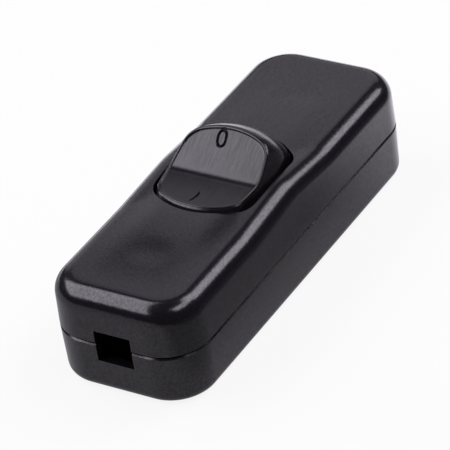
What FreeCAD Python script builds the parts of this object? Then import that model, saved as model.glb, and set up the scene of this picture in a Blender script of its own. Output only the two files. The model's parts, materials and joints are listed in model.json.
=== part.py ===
import FreeCAD, Part
import math
import os
from FreeCAD import Vector, Placement, Rotation

os.makedirs("parts", exist_ok=True)

# Inline cord switch: X along the cord, Y across, Z up, origin at the centre of the underside

# Housing outline
housing_length = 82.0
housing_width = 29.2
end_height = 19.8
seam_height = 9.9
plan_radius = 8.0
wall = 1.8
floor_thickness = 1.8
top_edge_radius = 3.5
bottom_edge_radius = 1.8
upper_draft = 0.25
lower_draft = 0.15
seam_chamfer = 0.25
fillet_margin = 0.05

# Raised and waisted middle of the upper shell
hump_rise = 0.8
hump_half_length = 19.5
hump_flat_half = 13.0
waist_depth = 0.6
waist_half_length = 14.5
waist_flat_half = 1.0
corner_slope = 2.0

# Locating lip between the two shells
lip_height = 1.1
lip_thickness = 0.8
lip_clearance = 0.1
lip_root = 1.2

# Cord entries
entry_width = 7.3
entry_drop = 3.4
entry_rise = 2.9

# Cover screws and their bosses
boss_end_distance = 15.2
boss_radius = 3.1
boss_bottom = 8.0
boss_pilot_radius = 1.2
boss_pilot_depth = 8.5
boss_rib_thickness = 1.0
boss_rib_length = 3.0
boss_rib_drop = 3.5
cover_screw_shank_radius = 1.45
cover_screw_head_radius = 2.7
cover_screw_head_height = 1.9
cover_screw_length = 10.5
cover_screw_clearance = 0.25
cover_screw_slot_width = 0.9
cover_screw_slot_depth = 0.8
counterbore_depth = 4.0
post_wall = 1.2
tip_point_length = 1.4
thread_clearance = 0.05
head_bevel = 0.4

# Rocker and its bearing
rocker_offset = -0.9
pivot_height = 13.0
rest_tilt_deg = 18.0
rim_half_length = 9.09
face_depth = 9.5
face_wing_angle_deg = 14.0
face_valley_radius = 9.0
face_recess = 0.35
rim_width = 0.55
rim_side_step = 0.87
skirt_flare = 0.28
skirt_side_margin = 4.6
skirt_bottom = 2.0
rocker_wall = 1.4
rocker_end_bow = 3.96
rocker_side_bow_radius = 45.0
rocker_corner_radius = 5.0
trunnion_radius = 1.7
trunnion_length = 2.1
trunnion_end_gap = 0.4
bearing_clearance = 0.06
ear_radius = 2.9
ear_half_top = 4.6
snap_slot_width = 3.0
cheek_half_length = 4.2
cheek_bottom = 10.2
cheek_root = 0.5

# Opening in the top for the rocker
opening_end_gap = 0.7
opening_side_gap = 0.45
opening_end_bow = 5.2
opening_side_bow_radius = 140.0
opening_corner_radius = 3.6
opening_land = 0.35
opening_flare = 1.5
opening_side_flare = 0.2

# Spring tube, plunger and spring
tube_radius = 3.0
tube_bottom = -1.0
tube_bore_radius = 1.75
tube_roof = 1.6
plunger_clearance = 0.05
plunger_tip_radius = 1.2
plunger_barrel_length = 4.2
plunger_neck_length = 1.1
plunger_spigot_radius = 0.8
plunger_spigot_length = 1.5
plunger_rest_gap = 0.65
spring_wire_radius = 0.18
spring_coil_radius = 1.3
spring_turns = 5
spring_wire_sides = 6
spring_seat_gap = 0.05
rocker_rib_thickness = 1.2

# Seesaw contact
blade_hinge_height = 6.6
blade_half_length = 9.0
blade_half_width = 2.5
blade_thickness = 0.8
blade_tilt_deg = 7.0
blade_groove_radius = 0.5
blade_to_fulcrum_gap = 0.3
tip_contact_offset = 7.0
tip_contact_radius = 1.4
tip_contact_height = 0.5
rivet_tail_radius = 0.8
rivet_tail_height = 0.25
contact_gap = 0.2
fixed_tip_radius = 1.6
rivet_cap_step = 0.3

# Terminals
plate_thickness = 0.8
plate_height = 3.2
pad_length = 7.0
pad_width = 5.8
pad_post_gap = 1.5
pad_wall_gap = 2.8
strip_pad_step = 1.4
strip_cheek_gap = 1.9
fulcrum_half_width = 2.0
fulcrum_cheek_thickness = 0.8
fulcrum_cheek_gap = 0.4
fulcrum_cheek_height = 3.4
contact_tab_half_width = 1.8
terminal_screw_radius = 1.5
terminal_screw_length = 2.7
terminal_head_radius = 2.6
terminal_head_height = 1.8
terminal_slot_width = 0.8
terminal_slot_depth = 0.9
washer_half_side = 2.75
washer_thickness = 0.8
washer_corner = 0.5
seat_inset = 0.5
pocket_clearance = 0.3
fence_thickness = 1.0
fence_rise = 1.4
fence_gap = 0.15
barrier_half_thickness = 0.6
barrier_height = 8.0
blade_end_gap = 0.7
stop_offset = 7.5
stop_half_length = 0.8
stop_gap = 0.3

# Cord clamps
clamp_end_distance = 6.4
clamp_half_length = 1.6
clamp_lip_gap = 1.5
clamp_thickness = 1.6
clamp_seat_height = 8.6
clamp_arch_wall = 1.5
clamp_tooth_height = 0.5
clamp_post_inset = 2.5
clamp_head_gap = 0.4
clamp_post_radius = 2.4
clamp_screw_radius = 1.3
clamp_screw_length = 6.0
clamp_head_radius = 2.2
clamp_head_height = 1.5
clamp_slot_width = 0.8
clamp_slot_depth = 0.7
saddle_half_width = 3.9
saddle_half_length = 1.2
saddle_height = 6.2
saddle_arc_radius = 6.0

# Derived heights and angles
rest_tilt = math.radians(rest_tilt_deg)
face_wing_angle = math.radians(face_wing_angle_deg)
blade_tilt = math.radians(blade_tilt_deg)
half_length = housing_length / 2
half_width = housing_width / 2
crown_height = end_height + hump_rise
plate_top = plate_height + plate_thickness
pivot = Vector(rocker_offset, 0, pivot_height)
blade_hinge = Vector(rocker_offset, 0, blade_hinge_height)
boss_offset = half_length - boss_end_distance
post_radius = cover_screw_head_radius + cover_screw_clearance + post_wall
skirt_half_width = half_width - skirt_side_margin
rim_half_width = skirt_half_width - rim_side_step
opening_half_width = skirt_half_width + opening_side_gap
rocker_end_bow_radius = (rim_half_width ** 2 + rocker_end_bow ** 2) / (2 * rocker_end_bow)
opening_end_bow_radius = (opening_half_width ** 2 + opening_end_bow ** 2) / (2 * opening_end_bow)
barrier_start = blade_half_length + abs(rocker_offset) + blade_end_gap
pad_outer_x = boss_offset - post_radius - pad_post_gap - fence_thickness - fence_gap
pad_inner_x = pad_outer_x - pad_length
pad_outer_y = half_width - wall - pad_wall_gap
pad_inner_y = pad_outer_y - pad_width
terminal_screw_x = (pad_inner_x + pad_outer_x) / 2
terminal_screw_y = (pad_inner_y + pad_outer_y) / 2
fulcrum_cheek_outer = blade_half_width + fulcrum_cheek_gap + fulcrum_cheek_thickness
strip_inner_y = fulcrum_cheek_outer + strip_cheek_gap
strip_outer_y = pad_outer_y - strip_pad_step
clamp_offset = half_length - clamp_end_distance
clamp_half_width = half_width - wall - lip_clearance - lip_thickness - clamp_lip_gap
clamp_post_y = clamp_half_width - clamp_post_inset
clamp_arch_radius = clamp_post_y - clamp_head_radius - clamp_head_gap - clamp_arch_wall


def face_height(x, drop):
    # Height of the two-winged face at x before it is tilted
    sine = math.sin(face_wing_angle)
    if abs(x) <= face_valley_radius * sine:
        return face_depth - drop + face_valley_radius - math.sqrt(face_valley_radius ** 2 - x ** 2)
    lift = face_valley_radius * (1 - math.cos(face_wing_angle))
    return face_depth - drop + lift + (abs(x) - face_valley_radius * sine) * math.tan(face_wing_angle)


# The ends of the rocker follow a cylinder about the pivot that passes through its rim
rocker_end_radius = math.hypot(rim_half_length, face_height(rim_half_length, 0))
opening_half_length = math.sqrt(rocker_end_radius ** 2 - (crown_height - pivot_height) ** 2) + opening_end_gap


def box(x0, x1, y0, y1, z0, z1):
    return Part.makeBox(x1 - x0, y1 - y0, z1 - z0, Vector(x0, y0, z0))


def upright(radius, x, y, z0, z1):
    return Part.makeCylinder(radius, z1 - z0, Vector(x, y, z0))


def along_y(radius, x, z, y0, y1):
    return Part.makeCylinder(radius, y1 - y0, Vector(x, y0, z), Vector(0, 1, 0))


def line(a, b):
    return Part.LineSegment(a, b).toShape()


def arc(a, m, b):
    return Part.Arc(a, m, b).toShape()


def prism_xz(edges, y0, y1):
    face = Part.Face(Part.Wire(edges))
    face.translate(Vector(0, y0, 0))
    return face.extrude(Vector(0, y1 - y0, 0))


def swell(x, depth, flat, end):
    # Height of the smooth swelling at x: flat middle, two tangent arcs down to zero
    middle = (end + flat) / 2
    run = middle - flat
    distance = abs(x)
    if distance <= flat or depth == 0:
        return depth
    size = abs(depth)
    radius = (run ** 2 + (size / 2) ** 2) / size
    share = 0.0
    if distance <= middle:
        share = size - radius + math.sqrt(radius ** 2 - (distance - flat) ** 2)
    elif distance <= end:
        share = radius - math.sqrt(radius ** 2 - (end - distance) ** 2)
    return math.copysign(share, depth)


def swelling_edges(end_x, base, depth, flat, end, place):
    # Chain from +end_x to -end_x: line, S of two arcs, flat, S of two arcs, line
    stations = [end_x, end, (end + flat) / 2, flat]
    stations = stations + [-x for x in reversed(stations)]
    edges = []
    for start, stop in zip(stations[:-1], stations[1:]):
        a = place(start, base + swell(start, depth, flat, end))
        b = place(stop, base + swell(stop, depth, flat, end))
        half = (start + stop) / 2
        if depth != 0 and flat <= abs(half) <= end:
            edges.append(arc(a, place(half, base + swell(half, depth, flat, end)), b))
        else:
            edges.append(line(a, b))
    return edges


def waist_edges(end_x, base, depth, place):
    return swelling_edges(end_x, base, depth, waist_flat_half, waist_half_length, place)


def hump_edges(end_x, base, place):
    return swelling_edges(end_x, base, hump_rise, hump_flat_half, hump_half_length, place)


def housing_wire(inset, draft, waist, z):
    # Rounded rectangle whose long sides may be waisted in the middle
    hl = half_length - inset - draft
    hw = half_width - inset - draft
    r = plan_radius - inset
    k = r * (1 - math.sqrt(0.5))
    edges = waist_edges(hl - r, hw, -waist, lambda x, y: Vector(x, y, z))
    edges.append(arc(Vector(r - hl, hw, z), Vector(k - hl, hw - k, z), Vector(-hl, hw - r, z)))
    edges.append(line(Vector(-hl, hw - r, z), Vector(-hl, r - hw, z)))
    edges.append(arc(Vector(-hl, r - hw, z), Vector(k - hl, k - hw, z), Vector(r - hl, -hw, z)))
    edges += waist_edges(hl - r, hw, -waist, lambda x, y: Vector(-x, -y, z))
    edges.append(arc(Vector(hl - r, -hw, z), Vector(hl - k, k - hw, z), Vector(hl, r - hw, z)))
    edges.append(line(Vector(hl, r - hw, z), Vector(hl, hw - r, z)))
    edges.append(arc(Vector(hl, hw - r, z), Vector(hl - k, hw - k, z), Vector(hl - r, hw, z)))
    return Part.Wire(edges)


def swept_edges(shape, low, high):
    # Edges that lie wholly between two heights
    found = []
    for edge in shape.Edges:
        limits = edge.BoundBox
        if limits.ZMin > low and limits.ZMax < high:
            found.append(edge)
    return found


def upper_form():
    # Drafted, waisted body of the upper shell under its raised top
    loft_top = end_height + 2 * hump_rise
    bottom = housing_wire(0, 0, 0, seam_height)
    top = housing_wire(0, upper_draft, waist_depth, loft_top)
    body = Part.makeLoft([bottom, top], True, True)
    level = end_height
    reach = half_length + 1
    side = hump_edges(reach, level, lambda x, z: Vector(x, 0, z))
    low = seam_height - 1
    side.append(line(Vector(-reach, 0, level), Vector(-reach, 0, low)))
    side.append(line(Vector(-reach, 0, low), Vector(reach, 0, low)))
    side.append(line(Vector(reach, 0, low), Vector(reach, 0, level)))
    body = body.common(prism_xz(side, -half_width - 1, half_width + 1))
    rim = swept_edges(body, level - fillet_margin, level + hump_rise + fillet_margin)
    rim = [edge for edge in rim if on_outline(edge)]
    return body.makeFillet(top_edge_radius + fillet_margin, rim)


def on_outline(edge):
    # True for the edges round the top, false for the seams that cross it
    limits = edge.BoundBox
    crosses = limits.YMin < -1 and limits.YMax > 1
    at_end = min(abs(limits.XMin), abs(limits.XMax)) > half_length - plan_radius
    return at_end or not crosses


def lower_form():
    # Drafted tub of the lower cover with a rounded foot and a small chamfer under the seam
    bottom = housing_wire(0, lower_draft, 0, 0)
    top = housing_wire(0, 0, 0, seam_height)
    body = Part.makeLoft([bottom, top], True, True)
    body = body.makeFillet(bottom_edge_radius, swept_edges(body, -fillet_margin, fillet_margin))
    rim = swept_edges(body, seam_height - fillet_margin, seam_height + fillet_margin)
    return body.makeChamfer(seam_chamfer, rim)


def bowed_outline(hl, hw, end_bow, side_bow, corner, x, z):
    # Four bowed sides joined by tangent corner arcs
    end_centre = hl - end_bow
    side_centre = hw - side_bow
    end_reach = end_bow - corner
    side_reach = side_bow - corner
    span = math.hypot(end_centre, side_centre)
    offset = (end_reach ** 2 - side_reach ** 2 + span ** 2) / (2 * span)
    rise = math.sqrt(end_reach ** 2 - offset ** 2)
    ux, uy = -end_centre / span, side_centre / span
    cx = end_centre + offset * ux - rise * uy
    cy = offset * uy + rise * ux
    if cx < 0 or cy < 0:
        cx = end_centre + offset * ux + rise * uy
        cy = offset * uy - rise * ux
    end_angle = math.atan2(cy, cx - end_centre)
    side_angle = math.atan2(cy - side_centre, cx)
    ex = end_centre + end_bow * math.cos(end_angle)
    ey = end_bow * math.sin(end_angle)
    sx = side_bow * math.cos(side_angle)
    sy = side_centre + side_bow * math.sin(side_angle)
    middle = (end_angle + side_angle) / 2
    mx = cx + corner * math.cos(middle)
    my = cy + corner * math.sin(middle)

    def at(px, py):
        return Vector(x + px, py, z)

    return Part.Wire([
        arc(at(ex, -ey), at(hl, 0), at(ex, ey)),
        arc(at(ex, ey), at(mx, my), at(sx, sy)),
        arc(at(sx, sy), at(0, hw), at(-sx, sy)),
        arc(at(-sx, sy), at(-mx, my), at(-ex, ey)),
        arc(at(-ex, ey), at(-hl, 0), at(-ex, -ey)),
        arc(at(-ex, -ey), at(-mx, -my), at(-sx, -sy)),
        arc(at(-sx, -sy), at(0, -hw), at(sx, -sy)),
        arc(at(sx, -sy), at(mx, -my), at(ex, -ey)),
    ])


def opening_outline(grow, side_grow, z):
    return bowed_outline(opening_half_length + grow, opening_half_width + side_grow,
                         opening_end_bow_radius + grow, opening_side_bow_radius + side_grow,
                         opening_corner_radius + side_grow, rocker_offset, z)


def opening_cut():
    # Narrow land at the outer face, then a flare that clears the swinging skirt
    land = crown_height - opening_land
    under = crown_height - wall
    straight = Part.makeLoft([opening_outline(0, 0, land), opening_outline(0, 0, crown_height + 1)], True, True)
    lower = [opening_outline(opening_flare, opening_side_flare, under), opening_outline(0, 0, land)]
    flare = Part.makeLoft(lower, True, True)
    clear = [opening_outline(opening_flare, opening_side_flare, under - 1),
             opening_outline(opening_flare, opening_side_flare, under)]
    return straight.fuse(flare).fuse(Part.makeLoft(clear, True, True))


def entry_cut(side):
    # Square cord entry through one end wall
    outer = side * (half_length + 1)
    inner = side * (half_length - wall - 1.5 * lip_thickness)
    low = seam_height - entry_drop
    high = seam_height + entry_rise
    return box(min(outer, inner), max(outer, inner), -entry_width / 2, entry_width / 2, low, high)


def bearing_cheek(side):
    # Block on the inside of a long wall that carries one trunnion, sloped under the rounded top edge
    inner = side * (opening_half_width + opening_side_flare)
    outer = side * (half_width - wall + cheek_root)
    crown = side * (half_width - top_edge_radius)
    knee = end_height - top_edge_radius
    roof = crown_height - wall / 2
    x0 = rocker_offset - cheek_half_length
    corners = [(inner, cheek_bottom), (outer, cheek_bottom), (outer, knee), (crown, roof), (inner, roof)]
    points = [Vector(x0, y, z) for y, z in corners]
    edges = [line(a, b) for a, b in zip(points, points[1:] + points[:1])]
    block = Part.Face(Part.Wire(edges)).extrude(Vector(2 * cheek_half_length, 0, 0))
    end = side * (skirt_half_width + trunnion_length + trunnion_end_gap)
    y0, y1 = sorted((inner - side, end))
    bore = along_y(trunnion_radius + bearing_clearance, rocker_offset, pivot_height, y0, y1)
    slot = box(rocker_offset - snap_slot_width / 2, rocker_offset + snap_slot_width / 2,
               y0, y1, cheek_bottom - 1, pivot_height)
    return block, bore.fuse(slot).fuse(slot_lead(y0, y1))


def slot_lead(y0, y1):
    # Tapered mouth that guides a trunnion into its slot
    half = snap_slot_width / 2
    base = cheek_bottom
    spread = trunnion_radius + 0.4
    corners = [(-spread, -0.5), (spread, -0.5), (spread, 0), (half, 1), (-half, 1), (-spread, 0)]
    points = [Vector(rocker_offset + x, 0, base + z) for x, z in corners]
    edges = [line(a, b) for a, b in zip(points, points[1:] + points[:1])]
    return prism_xz(edges, y0, y1)


def upper_boss(side):
    x = side * boss_offset
    top = end_height - wall / 2
    boss = upright(boss_radius, x, 0, boss_bottom, top)
    half = boss_rib_thickness / 2
    low = end_height - wall - boss_rib_drop
    reach = boss_radius + boss_rib_length
    boss = boss.fuse(box(x - half, x + half, -reach, reach, low, top))
    x0, x1 = sorted((x, x + side * reach))
    return boss.fuse(box(x0, x1, -half, half, low, top))


def upper_cavity():
    # Straight-walled hollow whose roof follows the raised top, with a sloped upper corner
    flat = end_height - wall
    slope = flat - corner_slope
    low = Part.Face(housing_wire(wall, 0, 0, seam_height - 1)).extrude(Vector(0, 0, slope - seam_height + 1))
    reach = half_length + 1
    side = hump_edges(reach, flat, lambda x, z: Vector(x, 0, z))
    side.append(line(Vector(-reach, 0, flat), Vector(-reach, 0, slope - 1)))
    side.append(line(Vector(-reach, 0, slope - 1), Vector(reach, 0, slope - 1)))
    side.append(line(Vector(reach, 0, slope - 1), Vector(reach, 0, flat)))
    roof = prism_xz(side, -half_width, half_width)
    taper = Part.makeLoft([housing_wire(wall, 0, 0, slope),
                           housing_wire(wall + corner_slope, 0, 0, crown_height - wall)], True, True)
    return low.fuse(taper.common(roof))


def make_upper_shell():
    shell = upper_form().cut(upper_cavity())
    for side in (-1, 1):
        block, cut = bearing_cheek(side)
        shell = shell.fuse(block).cut(cut)
        x = side * boss_offset
        pilot = upright(boss_pilot_radius, x, 0, boss_bottom - 1, boss_bottom + boss_pilot_depth)
        socket = upright(cover_screw_shank_radius + thread_clearance, x, 0, boss_bottom - 1,
                         cover_screw_tip() + thread_clearance)
        shell = shell.fuse(upper_boss(side)).cut(pilot).cut(socket)
        shell = shell.cut(entry_cut(side))
    return shell.cut(opening_cut()).removeSplitter()


def cover_screw_tip():
    return counterbore_depth + cover_screw_length


def lip_ring():
    # Raised inner lip that locates the upper shell, open at the entries, cheeks and corners
    gap = wall + lip_clearance
    outer = Part.Face(housing_wire(gap, 0, 0, seam_height - lip_root))
    inner = Part.Face(housing_wire(gap + lip_thickness, 0, 0, seam_height - lip_root))
    ring = outer.cut(inner).extrude(Vector(0, 0, lip_height + lip_root))
    root = Part.Face(housing_wire(wall / 2, 0, 0, seam_height - lip_root)).cut(
        Part.Face(housing_wire(gap + lip_thickness, 0, 0, seam_height - lip_root)))
    ring = ring.fuse(root.extrude(Vector(0, 0, lip_root)))
    keep = housing_width
    cheek = cheek_half_length + lip_clearance * 4
    ring = ring.cut(box(rocker_offset - cheek, rocker_offset + cheek, -keep, keep,
                        seam_height - 2, seam_height + lip_height + 1))
    entry = entry_width / 2
    return ring.cut(box(-half_length, half_length, -entry, entry,
                        seam_height - 2, seam_height + lip_height + 1))


def lower_post(side):
    return upright(post_radius, side * boss_offset, 0, floor_thickness / 2, boss_bottom)


def post_bore(side):
    x = side * boss_offset
    head = upright(cover_screw_head_radius + cover_screw_clearance, x, 0, -1, counterbore_depth)
    shank = upright(cover_screw_shank_radius + cover_screw_clearance, x, 0, 0, boss_bottom + 1)
    return head.fuse(shank)


def terminal_seat(side_x, side_y):
    # Raised seat under one terminal pad, with a fence on its outer end
    x0, x1 = sorted((side_x * (pad_inner_x + seat_inset), side_x * (pad_outer_x - seat_inset)))
    y0, y1 = sorted((side_y * (pad_inner_y + seat_inset), side_y * (pad_outer_y - seat_inset)))
    seat = box(x0, x1, y0, y1, floor_thickness / 2, plate_height)
    f0 = side_x * (pad_outer_x + fence_gap)
    f1 = side_x * (pad_outer_x + fence_gap + fence_thickness)
    x0, x1 = sorted((f0, f1))
    y0, y1 = sorted((side_y * pad_inner_y, side_y * pad_outer_y))
    fence = box(x0, x1, y0, y1, floor_thickness / 2, plate_top + fence_rise)
    tip = plate_top + washer_thickness - terminal_screw_length
    pocket = upright(terminal_screw_radius + pocket_clearance, side_x * terminal_screw_x,
                     side_y * terminal_screw_y, tip - pocket_clearance, plate_height + 1)
    return seat.fuse(fence).cut(pocket)


def clamp_seats(side):
    # Two screw posts and the saddle that a cord lies in
    x = side * clamp_offset
    made = upright(clamp_post_radius, x, clamp_post_y, floor_thickness / 2, clamp_seat_height)
    made = made.fuse(upright(clamp_post_radius, x, -clamp_post_y, floor_thickness / 2, clamp_seat_height))
    saddle = box(x - saddle_half_length, x + saddle_half_length, -saddle_half_width,
                 saddle_half_width, floor_thickness / 2, saddle_height + 0.8)
    trough = Part.makeCylinder(saddle_arc_radius, 4 * saddle_half_length,
                               Vector(x - 2 * saddle_half_length, 0, saddle_height + saddle_arc_radius),
                               Vector(1, 0, 0))
    return made.fuse(saddle.cut(trough))


def clamp_bores(side):
    x = side * clamp_offset
    low = clamp_seat_height + clamp_thickness - clamp_screw_length - 0.3
    bores = upright(clamp_screw_radius + thread_clearance, x, clamp_post_y, low, clamp_seat_height + 1)
    return bores.fuse(upright(clamp_screw_radius + thread_clearance, x, -clamp_post_y, low,
                              clamp_seat_height + 1))


def barrier(side):
    # Wall between the two poles, from the screw post towards the seesaw
    x0, x1 = sorted((side * barrier_start, side * boss_offset))
    return box(x0, x1, -barrier_half_thickness, barrier_half_thickness,
               floor_thickness / 2, barrier_height)


def tab_support(x, half, y0, y1):
    return box(x - half, x + half, y0, y1, floor_thickness / 2, plate_height)


def blade_underside(offset, tilt):
    # Height of the underside of the blade at a distance from its hinge when tilted
    return blade_hinge_height - abs(offset) * math.sin(tilt) - blade_thickness / 2 / math.cos(tilt)


def make_lower_cover():
    cover = lower_form().cut(lower_inside())
    cover = cover.fuse(lip_ring())
    for side in (-1, 1):
        cover = cover.fuse(lower_post(side)).fuse(barrier(side)).fuse(clamp_seats(side))
        for other in (-1, 1):
            cover = cover.fuse(terminal_seat(side, other))
    support = fulcrum_half_width - seat_inset
    cover = cover.fuse(tab_support(rocker_offset, support, -strip_inner_y, blade_half_width))
    tip_x = rocker_offset + tip_contact_offset
    support = contact_tab_half_width - seat_inset
    cover = cover.fuse(tab_support(tip_x, support, -strip_inner_y, blade_half_width - seat_inset))
    stop_x = rocker_offset - stop_offset
    stop_top = blade_underside(stop_offset + stop_half_length, blade_tilt) - stop_gap
    cover = cover.fuse(box(stop_x - stop_half_length, stop_x + stop_half_length,
                           seat_inset - blade_half_width, blade_half_width - seat_inset,
                           floor_thickness / 2, stop_top))
    for side in (-1, 1):
        cover = cover.cut(post_bore(side)).cut(clamp_bores(side)).cut(entry_cut(side))
    return cover.removeSplitter()


def lower_inside():
    bottom = housing_wire(wall, lower_draft, 0, floor_thickness)
    top = housing_wire(wall, 0, 0, seam_height + 1)
    return Part.makeLoft([bottom, top], True, True)


def end_reach_at(z, inset):
    # Half length of the skirt at a height: its ends follow a cylinder about the pivot
    return math.sqrt((rocker_end_radius - inset) ** 2 - z ** 2)


def skirt_half_width_at(z, inset):
    flared = rim_half_width + skirt_flare * (face_depth - z)
    return min(flared, skirt_half_width) - inset


def rocker_form(inset, low, high):
    # Loft of bowed outlines from the foot of the skirt to above the face
    levels = [low + (high - low) * share for share in (0, 0.3, 0.6, 0.85, 1)]
    wires = []
    for z in levels:
        wires.append(bowed_outline(end_reach_at(z, inset), skirt_half_width_at(z, inset),
                                   rocker_end_bow_radius - inset, rocker_side_bow_radius - inset,
                                   rocker_corner_radius - inset, 0, z))
    return Part.makeLoft(wires, True, False)


def face_prism(drop, reach, low, width):
    # Everything below the face profile
    knee = face_valley_radius * math.sin(face_wing_angle)

    def at(x):
        return Vector(x, 0, face_height(x, drop))

    edges = [
        line(at(reach), at(knee)),
        arc(at(knee), at(0), at(-knee)),
        line(at(-knee), at(-reach)),
        line(at(-reach), Vector(-reach, 0, low)),
        line(Vector(-reach, 0, low), Vector(reach, 0, low)),
        line(Vector(reach, 0, low), at(reach)),
    ]
    return prism_xz(edges, -width, width)


def face_pocket():
    # Shallow recess of the face inside its rim
    inset = rim_width
    outline = Part.Face(bowed_outline(rim_half_length - inset, rim_half_width - inset,
                                      rocker_end_bow_radius - inset, rocker_side_bow_radius - inset,
                                      rocker_corner_radius - inset, 0, 0))
    column = outline.extrude(Vector(0, 0, rocker_end_radius))
    return column.cut(face_prism(face_recess, rocker_end_radius, -1, skirt_half_width + 1))


def ear_plate(side):
    # Web that carries one trunnion below the skirt
    inner = skirt_half_width - rocker_wall
    y0, y1 = sorted((side * inner, side * skirt_half_width))
    top = skirt_bottom + 1.5
    slope = ear_radius * math.sqrt(0.5)
    edges = [
        line(Vector(ear_half_top, 0, top), Vector(-ear_half_top, 0, top)),
        line(Vector(-ear_half_top, 0, top), Vector(-ear_radius, 0, 0)),
        arc(Vector(-ear_radius, 0, 0), Vector(0, 0, -ear_radius), Vector(ear_radius, 0, 0)),
        line(Vector(ear_radius, 0, 0), Vector(ear_half_top, 0, top)),
    ]
    plate = prism_xz(edges, y0, y1)
    pin0, pin1 = sorted((side * (skirt_half_width - slope / 4), side * (skirt_half_width + trunnion_length)))
    return plate.fuse(along_y(trunnion_radius, 0, 0, pin0, pin1))


def place_with_rocker(shape):
    # The near half is pressed at rest
    shape.Placement = Placement(pivot, Rotation(Vector(0, 1, 0), -rest_tilt_deg)).multiply(shape.Placement)
    return shape


def make_rocker():
    high = face_height(rim_half_length, 0) + 0.4
    body = rocker_form(0, skirt_bottom, high)
    body = body.common(face_prism(0, rocker_end_radius, skirt_bottom - 1, skirt_half_width + 1))
    hollow = rocker_form(rocker_wall, skirt_bottom - 1, high - 1)
    hollow = hollow.common(face_prism(face_recess + tube_roof, rocker_end_radius,
                                      skirt_bottom - 2, skirt_half_width + 1))
    body = body.cut(hollow).cut(face_pocket())
    roof = face_depth - face_recess - tube_roof / 2
    body = body.fuse(upright(tube_radius, 0, 0, tube_bottom, roof))
    half = rocker_rib_thickness / 2
    inner = skirt_half_width - rocker_wall
    body = body.fuse(box(-half, half, -inner, inner, skirt_bottom + 1, roof))
    for side in (-1, 1):
        body = body.fuse(ear_plate(side))
    bore = upright(tube_bore_radius, 0, 0, tube_bottom - 1, spring_roof())
    return place_with_rocker(body.cut(bore).removeSplitter())


def spring_roof():
    return face_depth - face_recess - tube_roof


def plunger_tip_reach():
    # Distance from the pivot to the end of the plunger at rest
    gap = plunger_rest_gap + plunger_tip_radius
    surface = blade_hinge_height + blade_thickness / 2 / math.cos(blade_tilt)
    slope = math.tan(blade_tilt)
    span = pivot_height - surface - gap / math.cos(blade_tilt)
    centre = span / (math.cos(rest_tilt) - slope * math.sin(rest_tilt))
    return centre + plunger_tip_radius


def plunger_shoulder():
    return -plunger_tip_reach() + plunger_tip_radius + plunger_neck_length + plunger_barrel_length


def make_plunger():
    # Turned pin: round nose, cone, sliding barrel and a spigot inside the spring
    barrel = tube_bore_radius - plunger_clearance
    nose = -plunger_tip_reach()
    centre = nose + plunger_tip_radius
    cone = centre + plunger_neck_length
    shoulder = plunger_shoulder()
    crown = shoulder + plunger_spigot_length
    edges = [
        arc(Vector(0, 0, nose), Vector(plunger_tip_radius * math.sqrt(0.5), 0,
            centre - plunger_tip_radius * math.sqrt(0.5)), Vector(plunger_tip_radius, 0, centre)),
        line(Vector(plunger_tip_radius, 0, centre), Vector(barrel, 0, cone)),
        line(Vector(barrel, 0, cone), Vector(barrel, 0, shoulder)),
        line(Vector(barrel, 0, shoulder), Vector(plunger_spigot_radius, 0, shoulder)),
        line(Vector(plunger_spigot_radius, 0, shoulder), Vector(plunger_spigot_radius, 0, crown)),
        line(Vector(plunger_spigot_radius, 0, crown), Vector(0, 0, crown)),
        line(Vector(0, 0, crown), Vector(0, 0, nose)),
    ]
    turned = Part.Face(Part.Wire(edges)).revolve(Vector(0, 0, 0), Vector(0, 0, 1), 360)
    return place_with_rocker(turned)


def make_drive_spring():
    # Compression coil between the plunger shoulder and the roof of its tube
    low = plunger_shoulder() + spring_seat_gap + spring_wire_radius
    high = spring_roof() - spring_seat_gap - spring_wire_radius
    helix = Part.makeHelix((high - low) / spring_turns, high - low, spring_coil_radius)
    corners = []
    for step in range(spring_wire_sides):
        turn = 2 * math.pi * step / spring_wire_sides
        corners.append(Vector(spring_coil_radius + spring_wire_radius * math.cos(turn), 0,
                              spring_wire_radius * math.sin(turn)))
    section = Part.Wire([line(a, b) for a, b in zip(corners, corners[1:] + corners[:1])])
    coil = Part.Wire(helix).makePipeShell([section], True, True)
    coil.translate(Vector(0, 0, low))
    return place_with_rocker(coil)


def tilted_blade(shape):
    # The far end is down at rest, with its contact closed
    shape.Placement = Placement(blade_hinge, Rotation(Vector(0, 1, 0), blade_tilt_deg)).multiply(shape.Placement)
    return shape


def make_contact_blade():
    # Strip with rounded ends, a coined groove for the knife edge and a rivet hole
    half = blade_thickness / 2
    bar = box(blade_half_width - blade_half_length, blade_half_length - blade_half_width,
              -blade_half_width, blade_half_width, -half, half)
    for side in (-1, 1):
        bar = bar.fuse(upright(blade_half_width, side * (blade_half_length - blade_half_width), 0,
                               -half, half))
    groove = along_y(blade_groove_radius, 0, -half - blade_groove_radius / 2,
                     -blade_half_width - 1, blade_half_width + 1)
    hole = upright(rivet_tail_radius + thread_clearance, tip_contact_offset, 0, -1, 1)
    return tilted_blade(bar.removeSplitter().cut(groove).cut(hole))


def make_moving_tip():
    # Silver rivet: domed head below, tail through the strip
    half = blade_thickness / 2
    head = upright(tip_contact_radius, tip_contact_offset, 0, -half - tip_contact_height, -half)
    face = -half - tip_contact_height
    head = head.makeChamfer(tip_contact_height / 2, swept_edges(head, face - fillet_margin, face + fillet_margin))
    tail = upright(rivet_tail_radius, tip_contact_offset, 0, -half, half)
    cap = upright(rivet_tail_radius + rivet_cap_step, tip_contact_offset, 0, half, half + rivet_tail_height)
    return tilted_blade(head.fuse(tail).fuse(cap).removeSplitter())


def pad(side_x, side_y):
    x0, x1 = sorted((side_x * pad_inner_x, side_x * pad_outer_x))
    y0, y1 = sorted((side_y * pad_inner_y, side_y * pad_outer_y))
    return box(x0, x1, y0, y1, plate_height, plate_top)


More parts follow.
